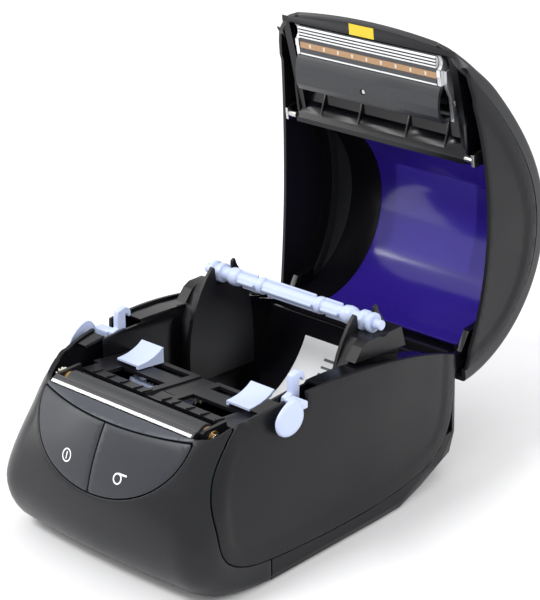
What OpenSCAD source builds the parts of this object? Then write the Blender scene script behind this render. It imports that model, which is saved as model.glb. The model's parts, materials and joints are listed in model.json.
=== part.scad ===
/* [Case] */
// Greatest width of the case across its bowed sides
case_w = 179.4; // [179:0.2:180.6]
// How far each side bows in at 100 mm from the widest place
side_bow = 9.3; // [9.2:0.05:9.4]
// How far the top of the front bows back at 68 mm from the middle
front_bow = 9; // [8.8:0.1:9.2]
// Wall thickness of the outer mouldings
wall = 3; // [2.8:0.1:3.1]
// Gap between neighbouring outer mouldings
seam = 0.35; // [0.3:0.05:0.45]
/* [Lid] */
// Angle between the open lid and the closed lid
open_angle = 84.5; // [80:0.5:86]
// Height of the closed lid's crown above the underside
lid_crown = 164.6; // [164:0.2:166]
/* [Media] */
// Radius of the cylinder that the roll of labels lies in
bay_r = 66; // [65.5:0.1:66]
// Radius of the platen roller
platen_r = 7; // [6.8:0.1:7]
/* [Controls] */
// Gap around each front button
button_gap = 0.7; // [0.6:0.1:0.9]
/* [Hidden] */
$fn = 96;
widest_y = 33;
front_y = -124.5;
rear_y = 127;
front_corner = 20;
rear_corner = 8;
hinge_y = 117.7;
hinge_z = 69.8;
hinge_pin_r = 3;
bay_y = 48;
bay_z = 97;
bay_x = 70;
trough_x = bay_x - 0.1;
trough_wall = 2.2;
lid_bay_r = 61;
lid_front_y = -95.5;
platen_y = -79;
platen_z = 92.5;
plate_in = 61;
gear_x = -68;
gear_m = 0.8;
platen_teeth = 14;
idler_teeth = 30;
pinion_teeth = 12;
idler_y = platen_y + 12.3;
idler_z = platen_z - 12.6;
motor_y = idler_y + 8;
motor_z = idler_z - 14.77;
guide_pinion_y = -31;
latch_y = -30;
latch_z = 84;
spindle_y = 58;
spindle_z = 121.5;
head_z = 100.4;
foot_x = 60;
foot_y = 84;
foot_r = 7;
foot_h = 1.5;
foot_sunk = 0.8;
dark = [0.08, 0.085, 0.09];
graphite = [0.2, 0.205, 0.215];
pale_blue = [0.78, 0.84, 0.95];
steel = [0.75, 0.76, 0.77];

// ---- curves ----
function mix3(a, b, c, d, t) =
    a * pow(1 - t, 3) + 3 * b * t * pow(1 - t, 2) + 3 * c * t * t * (1 - t) + d * pow(t, 3);
function bezier(a, b, c, d, n) = [for (i = [0:n]) mix3(a, b, c, d, i / n)];
function back_to_front(list) = [for (i = [len(list) - 1:-1:0]) list[i]];
function shifted(list, v) = [for (p = list) p + v];
// Half-width of the bowed side at a distance y along the case, w inside the outer face
function half_w(y, w) = case_w / 2 - w - side_bow * pow((y - widest_y) / 100, 2);
// How far the side has leaned in at a height: none low down, all of the bow at the rim
function lean_in(z) = z > 30 ? pow((z - 30) / 75, 1.5) : 0;
// The lower edge of the side draws in towards the rear corner
function undercut(y, z) = max(0, 0.267 * (y - 60) - 0.945 * z) + max(0, 1.2 - 0.4 * z);
function side_at(y, z, w) = case_w / 2 - w - undercut(y, z)
    - side_bow * pow((y - widest_y) / 100, 2) * (y < widest_y ? lean_in(z) : 1);
// Levels of the base: height, foremost y, bow of the front at x = 68, lift of the inner face
LEVELS = [[0, -99, 4, 0.9], [4, -109.5, 4, 0.8], [14, -120.5, 3.5, 0.4], [28, -124.3, 3, 0.1],
    [40, front_y, 3, 0], [53, -123.6, 5, 0], [70, -118.2, front_bow - 1.6, 0],
    [86, -110.5, front_bow, 0], [94, -104.6, front_bow, 0], [112, -88, front_bow, 0]];
function level_front(l, x, w) = l[1] + w + l[2] * pow(x / 68, 2);

// Right half of the plan at one level, from the middle of the front to the middle of the rear
function half_plan(l, w) = let (r = front_corner - w, cx = side_at(-92, l[0], w) - r) concat(
    [for (x = [0, 22, 44]) [x, level_front(l, x, w)]],
    [for (a = [0:18:90]) let (y = level_front(l, cx, w) + r * (1 - cos(a)))
        [side_at(y, l[0], w) - r * (1 - sin(a)), y]],
    [for (y = [-58, -28, 2, 33, 60, 85, 105]) [side_at(y, l[0], w), y]],
    [for (a = [90:-30:0]) let (r = rear_corner - w / 2, y = rear_y - w - r * (1 - cos(a)))
        [side_at(y, l[0], w) - r * (1 - sin(a)), y]]);
function mirrored(list) = [for (p = back_to_front(list)) if (abs(p[0]) > 0.001) [-p[0], p[1]]];
// The curved rim where lid and base meet
function rim_line(dz) = bezier([-72, 103.5 + dz], [-20, 112.5 + dz], [52, 112 + dz], [124, 82 + dz], 10);
function lid_front_line(w) = back_to_front(bezier([37, lid_crown - w], [-8, lid_crown - w],
    [-50 + 0.6 * w, lid_crown - 29.6 - 0.8 * w], [lid_front_y + w, 103], 8));
function lid_rear_line(w) = [for (a = [80:-10:0])
    [37 + (93.5 - w) * cos(a), 85 + (lid_crown - 85 - w) * sin(a)]];

module along_x(x0, x1) {
    translate([x0, 0, 0]) rotate([90, 0, 90]) linear_extrude(x1 - x0) children();
}
module along_y(y0, y1) {
    translate([0, y1, 0]) rotate([90, 0, 0]) linear_extrude(y1 - y0) children();
}
module block(x0, x1, y0, y1, z0, z1) {
    translate([x0, y0, z0]) cube([x1 - x0, y1 - y0, z1 - z0]);
}
module rod_x(x0, x1, y, z, r) {
    translate([x0, y, z]) rotate([0, 90, 0]) cylinder(r = r, h = x1 - x0, $fn = r > 20 ? 360 : 64);
}
module both_sides() {
    children();
    mirror([1, 0, 0]) children();
}
// Turns a piece that is drawn with the lid shut to where it is with the lid open
module opened() {
    translate([0, hinge_y, hinge_z]) rotate([-open_angle, 0, 0])
        translate([0, -hinge_y, -hinge_z]) children();
}

// ---- the outer shape of the base ----
module plan(l, w) {
    polygon(concat(half_plan(l, w), mirrored(half_plan(l, w))));
}
// A prism with the plan of the lid, which goes on in the sides of the base
module plan_prism(w, z0, z1) {
    translate([0, 0, z0]) linear_extrude(z1 - z0) plan([105, front_y, 5], w);
}
// The whole block of the base, w inside its outer face, before the rim is cut
module base_block(w, drop) {
    hull() {
        for (l = LEVELS) translate([0, 0, l[0] + w * l[3]]) linear_extrude(0.01) plan(l, w);
        translate([0, 0, -drop]) linear_extrude(0.01) plan(LEVELS[0], w);
    }
}
// The top of the front seen from the side, t below the outer face
function facet_z(y) = 97.5 + 0.353 * (y + 93.4);
function shoulder(t) = [[-90, 97 - t], [-84, 98.6 - t], [-78, 101.4 - t]];
module base_section() {
    polygon(concat([[-130, -1], [-130, 97]], shoulder(0), rim_line(0),
        [[rear_y, 81], [rear_y, 14], [121, 0], [112, 0], [112, -1]]));
}
module base_solid() {
    difference() {
        intersection() {
            base_block(0, 0);
            along_x(-95, 95) base_section();
        }
        // the sloping facet in front of the tear bar
        along_x(-64, 64) polygon([[-93.4, 97.5], [-130, facet_z(-130)], [-130, 130], [-93.4, 130]]);
    }
}
// The hollow of the base, open underneath and along the rim
module base_hollow(w) {
    intersection() {
        base_block(w, 5);
        along_x(-95, 95) polygon(concat([[-130, -5], [-130, facet_z(-130) - w],
            [-93.4, 97.5 - w]], shoulder(w), [[-74, 103 - w], [-74, 130], [rear_y - w, 130],
            [rear_y - w, -5]]));
    }
}
module base_shell(w) {
    difference() {
        base_solid();
        base_hollow(w);
    }
}
function panel_outline() = concat(
    bezier([-66, 109], [-84, 94], [-101.6, 74], [-101.6, 54], 5),
    bezier([-101.4, 40], [-100.4, 27], [-90, 18], [-62, 14.7], 5),
    bezier([-48, 13.4], [0, 10.2], [42, 10.4], [84, 16.2], 4),
    bezier([90, 17.6], [104, 21], [114, 30], [118, 44], 3), [[121, 60], [122, 84], [122, 110]]);
function inset_outline() = concat(
    bezier([-56, 120], [-72, 98], [-91.6, 74], [-92, 54], 5),
    bezier([-92, 42], [-91, 30], [-84, 25.5], [-62, 24], 4),
    bezier([-48, 22.8], [0, 20], [42, 20.6], [80, 26.4], 4),
    bezier([86, 27.6], [100, 31], [107, 40], [109, 54], 3), [[111, 80], [111, 120]]);
module panel_region(grow) {
    offset_pts = [for (p = panel_outline()) let (v = p - [17, 62]) p + v / norm(v) * grow];
    polygon(offset_pts);
}

// ---- case mouldings ----
module bottom_case() {
    color(dark) difference() {
        union() {
            intersection() {
                base_shell(wall);
                union() {
                    block(-95, 95, -60 + seam, 118, -1, 30);
                    block(-95, 95, 110, 130, -1, 11.4);
                }
            }
            // the floor, free of the front cover and joined to the walls behind it
            intersection() {
                base_block(wall + seam, 0);
                block(-95, 95, -96, 122, 0, 2.5);
            }
            intersection() {
                base_block(wall - 1, 0);
                block(-95, 95, -60 + seam, 122, 0, 2.5);
            }
            for (x = [-58, 58], y = [-52, 100]) translate([x, y, 2]) cylinder(r = 4.5, h = 6);
        }
        along_x(60, 95) panel_region(seam);
        along_x(-95, -60) panel_region(seam);
        for (x = [-58, 58], y = [-52, 100]) translate([x, y, -1]) cylinder(r = 1.6, h = 12);
        for (x = [-58, 58], y = [-52, 100]) translate([x, y, -1]) cylinder(r = 3.4, h = 3.2);
        for (x = [-foot_x, foot_x], y = [-foot_y, foot_y]) translate([x, y, -1])
            cylinder(r = foot_r + 0.5, h = 1 + foot_sunk);
    }
}
module button_opening(grow) {
    translate([0, 94]) intersection() {
        scale_pts = [for (a = [180:7.5:360]) [(63.5 + grow) * cos(a), (41.5 + grow) * sin(a)]];
        polygon(concat(scale_pts, [[63.5 + grow, 12], [-63.5 - grow, 12]]));
    }
}
module front_cover() {
    color(graphite) difference() {
        intersection() {
            base_shell(wall);
            block(-95, 95, -130, -60, -1, 120);
        }
        along_x(60, 95) panel_region(seam);
        along_x(-95, -60) panel_region(seam);
        along_y(-130, -84) button_opening(0);
        translate([0, 0, 70]) linear_extrude(50) polygon([[-64.2, -93], [64.2, -93], [70, -87.5],
            [74.5, -81], [76, -72], [76, -50], [-76, -50], [-76, -72], [-74.5, -81], [-70, -87.5]]);
    }
}
// The left side panel; the right one is its mirror image
module side_panel() {
    color(dark) intersection() {
        difference() {
            base_shell(wall - 0.2);
            // the recessed face inside the raised border
            difference() {
                along_x(-95, -60) polygon(inset_outline());
                base_block(0.8, 5);
            }
            // the notch that the latch lever comes out through
            block(-95, -60, -39, -22, 98.5, 130);
            // room for the hinge arms
            block(-76.8, -60, 112, 130, 50, 120);
        }
        along_x(-95, -60) panel_region(0);
    }
}
module side_panel_left() { side_panel(); }
module side_panel_right() { mirror([1, 0, 0]) side_panel(); }
module rear_cover() {
    color(dark) difference() {
        intersection() {
            base_shell(wall);
            block(-95, 95, 118.4, 130, 11.4 + seam, 80.5);
        }
        along_x(60, 95) panel_region(seam);
        along_x(-95, -60) panel_region(seam);
        // slots that the lid's hinge arms swing through
        both_sides() block(71.8, 76.8, 115, 130, 50, 90);
        block(-8.2, 8.2, 115, 130, 11, 27.2);
        block(-40.2, -27.8, 115, 130, 11, 27.2);
        block(24.8, 57.2, 115, 130, 13.8, 27.2);
    }
}

// ---- the frame inside ----
// the round trough that the roll lies in, with the wall in front of it
module roll_trough() {
    color(dark) union() {
        difference() {
            along_x(-trough_x, trough_x) intersection() {
                translate([bay_y, bay_z]) circle(r = bay_r + trough_wall, $fn = 360);
                polygon([[-40, 20], [140, 20], [140, 80], [106, 80], [106, 90], [bay_y, 90],
                    [-18.6, 86.2], [-40, 86.2]]);
            }
            rod_x(-bay_x - 1, bay_x + 1, bay_y, bay_z, bay_r);
        }
        block(-trough_x, trough_x, -21.5, -18.2, 60, 86.2);
    }
}
module main_frame() {
    color(dark) both_sides() {
        // inner side wall with the ear that holds the hinge pin
        difference() {
            along_x(bay_x - 0.1, bay_x + 1.6) polygon(concat([[-42, 22], [-42, 104]],
                [for (p = rim_line(-3.2)) if (p[0] > -42 && p[0] < 120) p],
                [[122, 80], [122, 60], [106, 40], [84, 22]]));
            rod_x(bay_x - 1, bay_x + 3, hinge_y, hinge_z, hinge_pin_r);
            block(bay_x - 1, bay_x + 3, -22, -8, 104.6, 120);
        }
        // ledge under the lid's rim
        difference() {
            intersection() {
                plan_prism(wall + 0.2, 70, 120);
                along_x(bay_x + 1, 95) polygon(concat(
                    [for (p = rim_line(-1.6)) if (p[0] > -66 && p[0] < 121) p],
                    back_to_front([for (p = rim_line(-3.4)) if (p[0] > -66 && p[0] < 121) p])));
            }
            block(70.9, 95, -40, -8, 80, 120);
            block(71.8, 76.8, 96, 130, 70, 120);
        }
        // outer ear of the hinge
        difference() {
            intersection() {
                plan_prism(wall + 0.2, 40, 120);
                union() {
                    along_x(76.9, 78.5) polygon([[104, 56], [122, 56], [122, 76],
                        [112, 85.4], [104, 88]]);
                    block(71, 78.5, 100, 112, 54, 57.5);
                    block(76.9, 78.5, 100, 112, 54, 62);
                }
            }
            rod_x(70, 95, hinge_y, hinge_z, hinge_pin_r);
            block(71.7, 76.9, 99, 130, 57.4, 90);
        }
        // legs down to the screws in the bottom case
        translate([58, -52, 8]) cylinder(r = 4, h = 14);
        block(54, 70.5, -56, -48, 20, 24);
        block(69, 71.5, -56, -41.8, 20, 60);
        difference() {
            block(54, 70.5, 96, 104, 21.5, 60);
            rod_x(0, trough_x, bay_y, bay_z, bay_r + trough_wall);
        }
        translate([58, 100, 8]) cylinder(r = 4, h = 14.5);
        // flange that carries the deck
        block(66, 70.5, -50, -21.5, 83, 85.5);
        block(69, 71.5, -50, -41.8, 58, 85.5);
    }
}
function deck_z(y) = 95 - 0.1134 * (y + 66);
module deck_slot(x0, x1, y0, y1) { block(x0, x1, y0, y1, 80, 100); }
module print_deck() {
    color(dark) difference() {
        union() {
            along_x(-69.4, 69.4) polygon([[-66, deck_z(-66)], [-17.6, deck_z(-17.6)],
                [-17.6, 86.6], [-22, deck_z(-22) - 2.4], [-66, deck_z(-66) - 2.4]]);
            both_sides() along_x(66.2, 69.4) polygon([[-50, 85.8], [-22, 85.8], [-22, 88],
                [-50, 91.5]]);
            // ribs that the labels run over
            both_sides() for (x = [8, 16, 28, 40, 52]) along_x(x, x + 1)
                polygon([[-66, deck_z(-66) - 0.1], [-58.5, deck_z(-58.5) - 0.1],
                    [-58.5, deck_z(-58.5) + 0.6], [-66, deck_z(-66) + 1.2]]);
            translate([0, guide_pinion_y, 79]) cylinder(r = 2, h = 10);
        }
        // room for the idler gear
        block(-70, -63.9, -70, -51, 80, 100);
        both_sides() deck_slot(12.5, 51.5, -30, -22);
        both_sides() deck_slot(12, 50, -58, -44);
        along_x(-7, 7) polygon([[-67, deck_z(-67) - 1.2], [-16, deck_z(-16) - 1.2],
            [-16, 100], [-67, 103]]);
        block(-6, 6, -64, -52, 80, 100);
    }
}
module beam_plate_outline(deep) {
    polygon(deep ? [[-87.4, 79], [-87.4, 98], [-85, 99.2], [-68, 99.2], [-66.4, 92], [-50, 79],
        [-40, 66], [-40, 50], [-50, 43], [-68, 43], [-80, 56], [-84, 72]]
        : [[-87.4, 79], [-87.4, 98], [-85, 99.2], [-68, 99.2], [-66.4, 92], [-66.4, 79]]);
}
module front_beam() {
    color(steel) difference() {
        union() {
            along_x(-plate_in - 2.5, -plate_in) beam_plate_outline(true);
            along_x(plate_in, plate_in + 2.5) beam_plate_outline(false);
            along_x(-plate_in - 1, plate_in + 1) polygon([[-87.4, 79], [-87.4, 81], [-68, 81],
                [-68, 79]]);
            along_x(-60, 60) polygon([[-91, 79], [-91, 94.6], [-89.2, 94.6], [-89.2, 81],
                [-87, 81], [-87, 79]]);
            along_x(-60, 60) polygon([[-90.9, 94.4], [-90.9, 97.2], [-88.8, 98.8],
                [-87.4, 98], [-89.2, 94.4]]);
        }
        rod_x(-90, 90, platen_y, platen_z, 4.6);
        rod_x(-90, -50, idler_y, idler_z, 2.5);
        rod_x(-90, -50, motor_y, motor_z, 6);
    }
}
module crescent(grow) {
    pts = [for (i = [-8:8]) let (x = i * 8.2) [x, 93.2 - grow + 2.2 * pow(x / 60, 2)]];
    polygon(concat(pts, [[70, 120], [-70, 120]]));
}
module front_trim() {
    color([0.36, 0.39, 0.43]) difference() {
        intersection() {
            base_shell(wall);
            along_y(-130, -80) intersection() {
                button_opening(-seam);
                crescent(0);
            }
        }
        block(-80, 80, -95, -70, 60, 120);
    }
}
module tear_bar() {
    color(steel) along_x(-60, 60) polygon([[-94.4, 97.2], [-93.8, 96.2], [-92.8, 96],
        [-88.6, 99.2], [-88.9, 100.2], [-90, 100.3]]);
}

// ---- media bay ----
function support_outline() = concat([[24, 52]], bezier([24, 62], [22, 92], [34, 116], [47.5, 128.5], 7),
    [[49.5, 127], [50.4, 118], [50.6, 114.8], [65.4, 114.8], [65.6, 118], [66.2, 127], [68.4, 128.5]],
    bezier([70, 124], [80, 112], [84, 92], [84, 70], 5), [[84, 50]]);
module roll_support() {
    color(dark) difference() {
        union() {
            along_x(59.8, 62.2) polygon(support_outline());
            along_x(62, 69.8) polygon([[26, 62], [27, 96], [37, 112], [42, 116.5], [74, 116.5],
                [80, 104], [82, 62]]);
            along_x(69, 77) polygon([[30, 106.2], [37, 114], [42, 116.5], [74, 116.5],
                [77, 106], [78, 102.5], [60, 104]]);
        }
        rod_x(50, 80, spindle_y, spindle_z, 6.5);
        block(50, 80, spindle_y - 6.5, spindle_y + 6.5, spindle_z, 140);
        // the foot of the plate follows the trough
        difference() {
            block(50, 69.9, 0, 120, 0, 80);
            rod_x(40, 71, bay_y, bay_z, bay_r - 0.1);
        }
        // the block sits on the inner wall and the ledge
        along_x(69.9, 80) polygon(concat([[20, 90]], [for (p = rim_line(-1.4))
            if (p[0] > 20 && p[0] < 90) p], [[90, 80], [20, 80]]));
    }
}
module roll_support_right() { roll_support(); }
module roll_support_left() { mirror([1, 0, 0]) roll_support(); }
module spindle() {
    color(pale_blue) union() {
        rod_x(-75, 75, spindle_y, spindle_z, 3.2);
        rod_x(-58.6, 58.6, spindle_y, spindle_z, 4.4);
        rod_x(-69, -59, spindle_y, spindle_z, 6.4);
        rod_x(59, 69, spindle_y, spindle_z, 6.4);
        for (a = [0:90:270]) translate([0, spindle_y, spindle_z]) rotate([a, 0, 0])
            block(-58.6, 58.6, -1.2, 1.2, 0, 6.2);
    }
}
// Thin sticker on the rear of the trough, under the roll
module bay_label() {
    color("white") intersection() {
        difference() {
            rod_x(-34, 36, bay_y, bay_z, bay_r);
            rod_x(-40, 40, bay_y, bay_z, bay_r - 0.25);
        }
        block(-34, 36, 52, 107.6, 30, 72);
    }
}

// ---- printing and driving the labels ----
module platen_roller() {
    color([0.12, 0.12, 0.13]) difference() {
        rod_x(-57, 57, platen_y, platen_z, platen_r);
        rod_x(-60, 60, platen_y, platen_z, 3);
    }
}
module platen_shaft() {
    color(steel) rod_x(-71, 66, platen_y, platen_z, 3);
}
module platen_bushings() {
    color([0.7, 0.48, 0.25]) both_sides() difference() {
        union() {
            rod_x(58, 60.9, platen_y, platen_z, 5.6);
            rod_x(58, 64, platen_y, platen_z, 4.6);
        }
        rod_x(50, 70, platen_y, platen_z, 3.06);
    }
}
// Spur gear on an axis along X: teeth, pitch radius teeth * module / 2
module spur(teeth, thick, bore, turn) {
    p = teeth * gear_m / 2;
    tip = p + 0.8 * gear_m;
    root = p - 1.15 * gear_m;
    a = 360 / teeth;
    outline = [for (i = [0:teeth - 1], q = [[root, -0.34], [p, -0.215], [tip, -0.1],
        [tip, 0.1], [p, 0.215], [root, 0.34]])
        let (t = turn + a * (i + q[1])) [q[0] * cos(t), q[0] * sin(t)]];
    rotate([90, 0, 90]) linear_extrude(thick) difference() {
        polygon(outline);
        circle(r = bore);
    }
}
// Direction from the platen's axis to the idler's, and from the idler's to the motor's
mesh_angle = atan2(idler_z - platen_z, idler_y - platen_y);
drive_angle = atan2(motor_z - idler_z, motor_y - idler_y);
// The idler shows a gap where the platen gear shows a tooth, and the pinion follows the idler
idler_turn = mesh_angle + 180 + 180 / idler_teeth;
idler_step = 360 / idler_teeth;
idler_lead = drive_angle - idler_turn - idler_step * floor((drive_angle - idler_turn) / idler_step);
pinion_turn = drive_angle + 180 + 180 / pinion_teeth + idler_lead * idler_teeth / pinion_teeth;
module platen_gear() {
    color("ivory") translate([gear_x, platen_y, platen_z]) spur(platen_teeth, 3.5, 3, mesh_angle);
}
module idler_gear() {
    color("ivory") translate([gear_x, idler_y, idler_z]) spur(idler_teeth, 3.5, 2.56, idler_turn);
}
module motor_pinion() {
    color([0.72, 0.58, 0.3]) translate([gear_x, motor_y, motor_z])
        spur(pinion_teeth, 3.5, 1.5, pinion_turn);
}
module idler_stud() {
    color(steel) union() {
        rod_x(-70.5, -61, idler_y, idler_z, 2.5);
        rod_x(-71.3, -70.3, idler_y, idler_z, 4);
    }
}
module stepper_motor() {
    color([0.3, 0.31, 0.33]) difference() {
        union() {
            rod_x(-60.4, -37, motor_y, motor_z, 15.8);
            intersection() {
                rod_x(-60.9, -59.9, motor_y, motor_z, 19);
                block(-62, -50, motor_y - 16, motor_y + 16, motor_z - 19, motor_z + 14);
            }
            rod_x(-62.5, -60, motor_y, motor_z, 5);
        }
        rod_x(-80, -50, motor_y, motor_z, 1.55);
    }
}

// ---- media guides ----
module guide_flag() {
    // scooped top plate and the wall that the labels' edge runs along
    along_x(38, 57) polygon([[-42, 94.2], [-42, 95.6], [-38, 95.6], [-33, 96], [-28, 97.2],
        [-24, 98.8], [-20.4, 101], [-19.4, 100.2], [-23, 97], [-28, 95], [-34, 94.2]]);
    along_x(38, 40) polygon([[-42, deck_z(-42) + 0.5], [-42, 95], [-34, 95], [-28, 96],
        [-23, 98], [-20, 100], [-20, deck_z(-20) + 0.5]]);
    block(44, 50, -28, -24, 84, 97);
}
module rack(y0, teeth_side) {
    // rack under the deck, pitch 2 pi with the 12-tooth pinion
    pitch = PI;
    teeth = [for (i = [-1:15]) each [[pitch * (i - 0.3), 0], [pitch * (i - 0.12), 2],
        [pitch * (i + 0.12), 2], [pitch * (i + 0.3), 0]]];
    translate([0, y0, 80.4]) linear_extrude(3) polygon(concat(
        [for (t = teeth) [t[0], teeth_side * t[1]]],
        [[pitch * 15.5, 0], [pitch * 15.5, -teeth_side * 2.2], [-4.5, -teeth_side * 2.2],
        [-4.5, 0]]));
}
module guide_right() {
    color(pale_blue) union() {
        guide_flag();
        rack(-24, -1);
        block(44, 48, -28, -22, 80.4, 84.4);
    }
}
module guide_left() {
    color(pale_blue) union() {
        mirror([1, 0, 0]) guide_flag();
        rotate([0, 0, 180]) translate([0, 62, 0]) rack(-24, -1);
        block(-48.5, -44, -40, -27, 80.4, 84.4);
    }
}
module guide_pinion() {
    color("ivory") translate([0, guide_pinion_y, 80.2]) linear_extrude(3.4) difference() {
        polygon([for (i = [0:11], q = [[4.6, -0.34], [6, -0.2], [6.9, -0.1], [6.9, 0.1],
            [6, 0.2], [4.6, 0.34]]) let (t = 15 + 30 * (i + q[1])) [q[0] * cos(t), q[0] * sin(t)]]);
        circle(r = 2.06);
    }
}
module media_sensor() {
    color([0.1, 0.1, 0.12]) union() {
        block(-5.6, 5.6, -63, -53, 88, 92.6);
        block(-9, 9, -64, -52, 84, 88);
    }
}

// ---- latch levers ----
module latch_lever() {
    color(pale_blue) difference() {
        union() {
            along_x(72.3, 76.8) polygon([[-34, 80], [-26, 79.5], [-25, 88], [-19.5, 96],
                [-19.2, 113.6], [-17, 113.6], [-17, 111], [-14.4, 112.4], [-15, 116.4],
                [-18.4, 118.3], [-24, 118.3], [-26, 116], [-26.2, 106], [-31, 104.6],
                [-33, 92]]);
            block(76, 88.4, -32.5, -25, 100.2, 104.8);
            along_x(87.9, 91) polygon(concat([for (a = [150:20:370])
                [-41.5 + 10 * cos(a), 97.5 + 9.5 * sin(a)]], [[-31.4, 103], [-33.6, 108.5],
                [-37, 111], [-42, 110], [-48, 105.5]]));
        }
        rod_x(70, 80, latch_y, latch_z, 2.06);
    }
}
module latch_right() { latch_lever(); }
module latch_left() { mirror([1, 0, 0]) latch_lever(); }
module latch_pivots() {
    color(steel) both_sides() {
        rod_x(bay_x + 1.6, 77.3, latch_y, latch_z, 2);
        rod_x(77.3, 78.3, latch_y, latch_z, 3.4);
    }
}

// ---- front buttons ----
module button_face(side) {
    color([0.22, 0.25, 0.29]) intersection() {
        base_shell(wall - 0.6);
        along_y(-130, -93.6) difference() {
            intersection() {
                button_opening(-button_gap);
                translate([side > 0 ? 0.45 : -70.45, 40]) square([70, 60]);
            }
            crescent(button_gap);
        }
    }
}
module power_button() {
    button_face(-1);
    color(graphite) translate([-22, -113, 67.5]) rotate([78, 0, 0]) cylinder(r = 2, h = 4.1);
}
module feed_button() {
    button_face(1);
    color(graphite) translate([22, -113, 67.5]) rotate([78, 0, 0]) cylinder(r = 2, h = 4.1);
}
module button_board() {
    color("darkgreen") union() {
        along_x(-40, 40) polygon([[-111.5, 60], [-109.9, 60], [-105.5, 78], [-107.1, 78]]);
        both_sides() translate([22, -109, 68]) rotate([78, 0, 0]) cylinder(r = 3, h = 2.9);
    }
}

// ---- electronics ----
module main_board() {
    color("darkgreen") union() {
        block(-50, 50, -40, 117, 10, 11.6);
        for (p = [[-30, 20, 12], [0, 40, 16], [25, 0, 10]]) block(p[0], p[0] + p[2], p[1],
            p[1] + p[2], 11.5, 13.4);
        for (p = [[-35, 70], [-20, 78], [34, 74]]) translate([p[0], p[1], 11.5])
            cylinder(r = 4, h = 8);
        for (x = [-44, 44], y = [-34, 60]) translate([x, y, 2.5]) cylinder(r = 2.5, h = 7.6);
        block(-40, -10, -38, -34, 11.5, 17);
    }
}
module dc_jack() {
    color([0.1, 0.1, 0.1]) union() {
        difference() {
            block(-40, -28, 114.5, 127, 11.7, 27);
            translate([-34, 130, 21]) rotate([90, 0, 0]) cylinder(r = 3.2, h = 12);
        }
        translate([-34, 126.5, 21]) rotate([90, 0, 0]) cylinder(r = 1, h = 9);
    }
}
module usb_port() {
    color(steel) union() {
        difference() {
            block(-8, 8, 112, 127, 11.7, 27);
            block(-4.4, 4.4, 116, 130, 16.6, 25);
        }
        block(-2.8, 2.8, 115, 126, 19.2, 22.4);
    }
}
module serial_port() {
    color(steel) union() {
        block(25, 57, 117, 125, 14, 27);
        along_y(124, 129.5) polygon([[32, 25.2], [50, 25.2], [48.2, 16.4], [33.8, 16.4]]);
        for (x = [28.5, 53.5]) translate([x, 129.5, 20.8]) rotate([90, 0, 0])
            cylinder(r = 2.4, h = 6, $fn = 6);
    }
}
module rubber_feet() {
    color([0.05, 0.05, 0.05]) for (x = [-foot_x, foot_x], y = [-foot_y, foot_y])
        translate([x, y, -foot_h]) cylinder(r = foot_r, h = foot_h + foot_sunk);
}
module case_screws() {
    color(steel) for (x = [-58, 58], y = [-52, 100]) translate([x, y, 0]) {
        translate([0, 0, 0.4]) cylinder(r = 3, h = 1.8);
        cylinder(r = 1.5, h = 8);
    }
}
module hinge_pins() {
    color(steel) both_sides() rod_x(bay_x - 0.2, 78.4, hinge_y, hinge_z, hinge_pin_r);
}

// ---- lid, drawn shut ----
module lid_section(w, cut) {
    polygon(concat(lid_front_line(w), lid_rear_line(w), cut > 0
        ? [[rear_y, 60], [-60, 60], [lid_front_y + w, 90]]
        : concat([[37 + 93.5 - w, 84]], back_to_front(rim_line(1.2)), [[lid_front_y + w, 101.8]])));
}
module lid_solid(w, cut) {
    intersection() {
        union() {
            plan_prism(w, 60, 170);
            // the rear of the lid is a little longer than the base
            translate([0, 3.5, 0]) intersection() {
                plan_prism(w, 60, 170);
                block(-95, 95, 60, 200, 50, 180);
            }
        }
        along_x(-95, 95) lid_section(w, cut);
        lid_front_prism(w);
    }
}
// The bowed front edge of the lid and its round corners
module lid_front_prism(w) {
    c = 14 - w;
    pts = concat([for (i = [0:3]) [18 * i, lid_front_y + w + 5.5 * pow(18 * i / 70, 2)]],
        [for (a = [0:18:90]) [78.5 - w - c * (1 - sin(a)), lid_front_y + w + 4.2 + c * (1 - cos(a))]],
        [[94, -40], [94, 140]]);
    translate([0, 0, 50]) linear_extrude(130) polygon(concat(pts, mirrored(pts)));
}
module lid_shell() {
    difference() {
        lid_solid(0, 0);
        intersection() {
            lid_solid(wall, 1);
        }
    }
}
seam_depth = 9;
module lid_top_cover() {
    color([0.35, 0.355, 0.365]) opened() difference() {
        lid_shell();
        both_sides() along_x(60, 95) lid_section(seam_depth, 1);
        // opening over the window
        block(-36, 36, 30, 92, 120, 180);
    }
}
module lid_side(side) {
    color(dark) opened() intersection() {
        lid_shell();
        along_x(side > 0 ? 60 : -95, side > 0 ? 95 : -60) lid_section(seam_depth + seam, 1);
    }
}
module lid_side_left() { lid_side(-1); }
module lid_side_right() { lid_side(1); }
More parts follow.
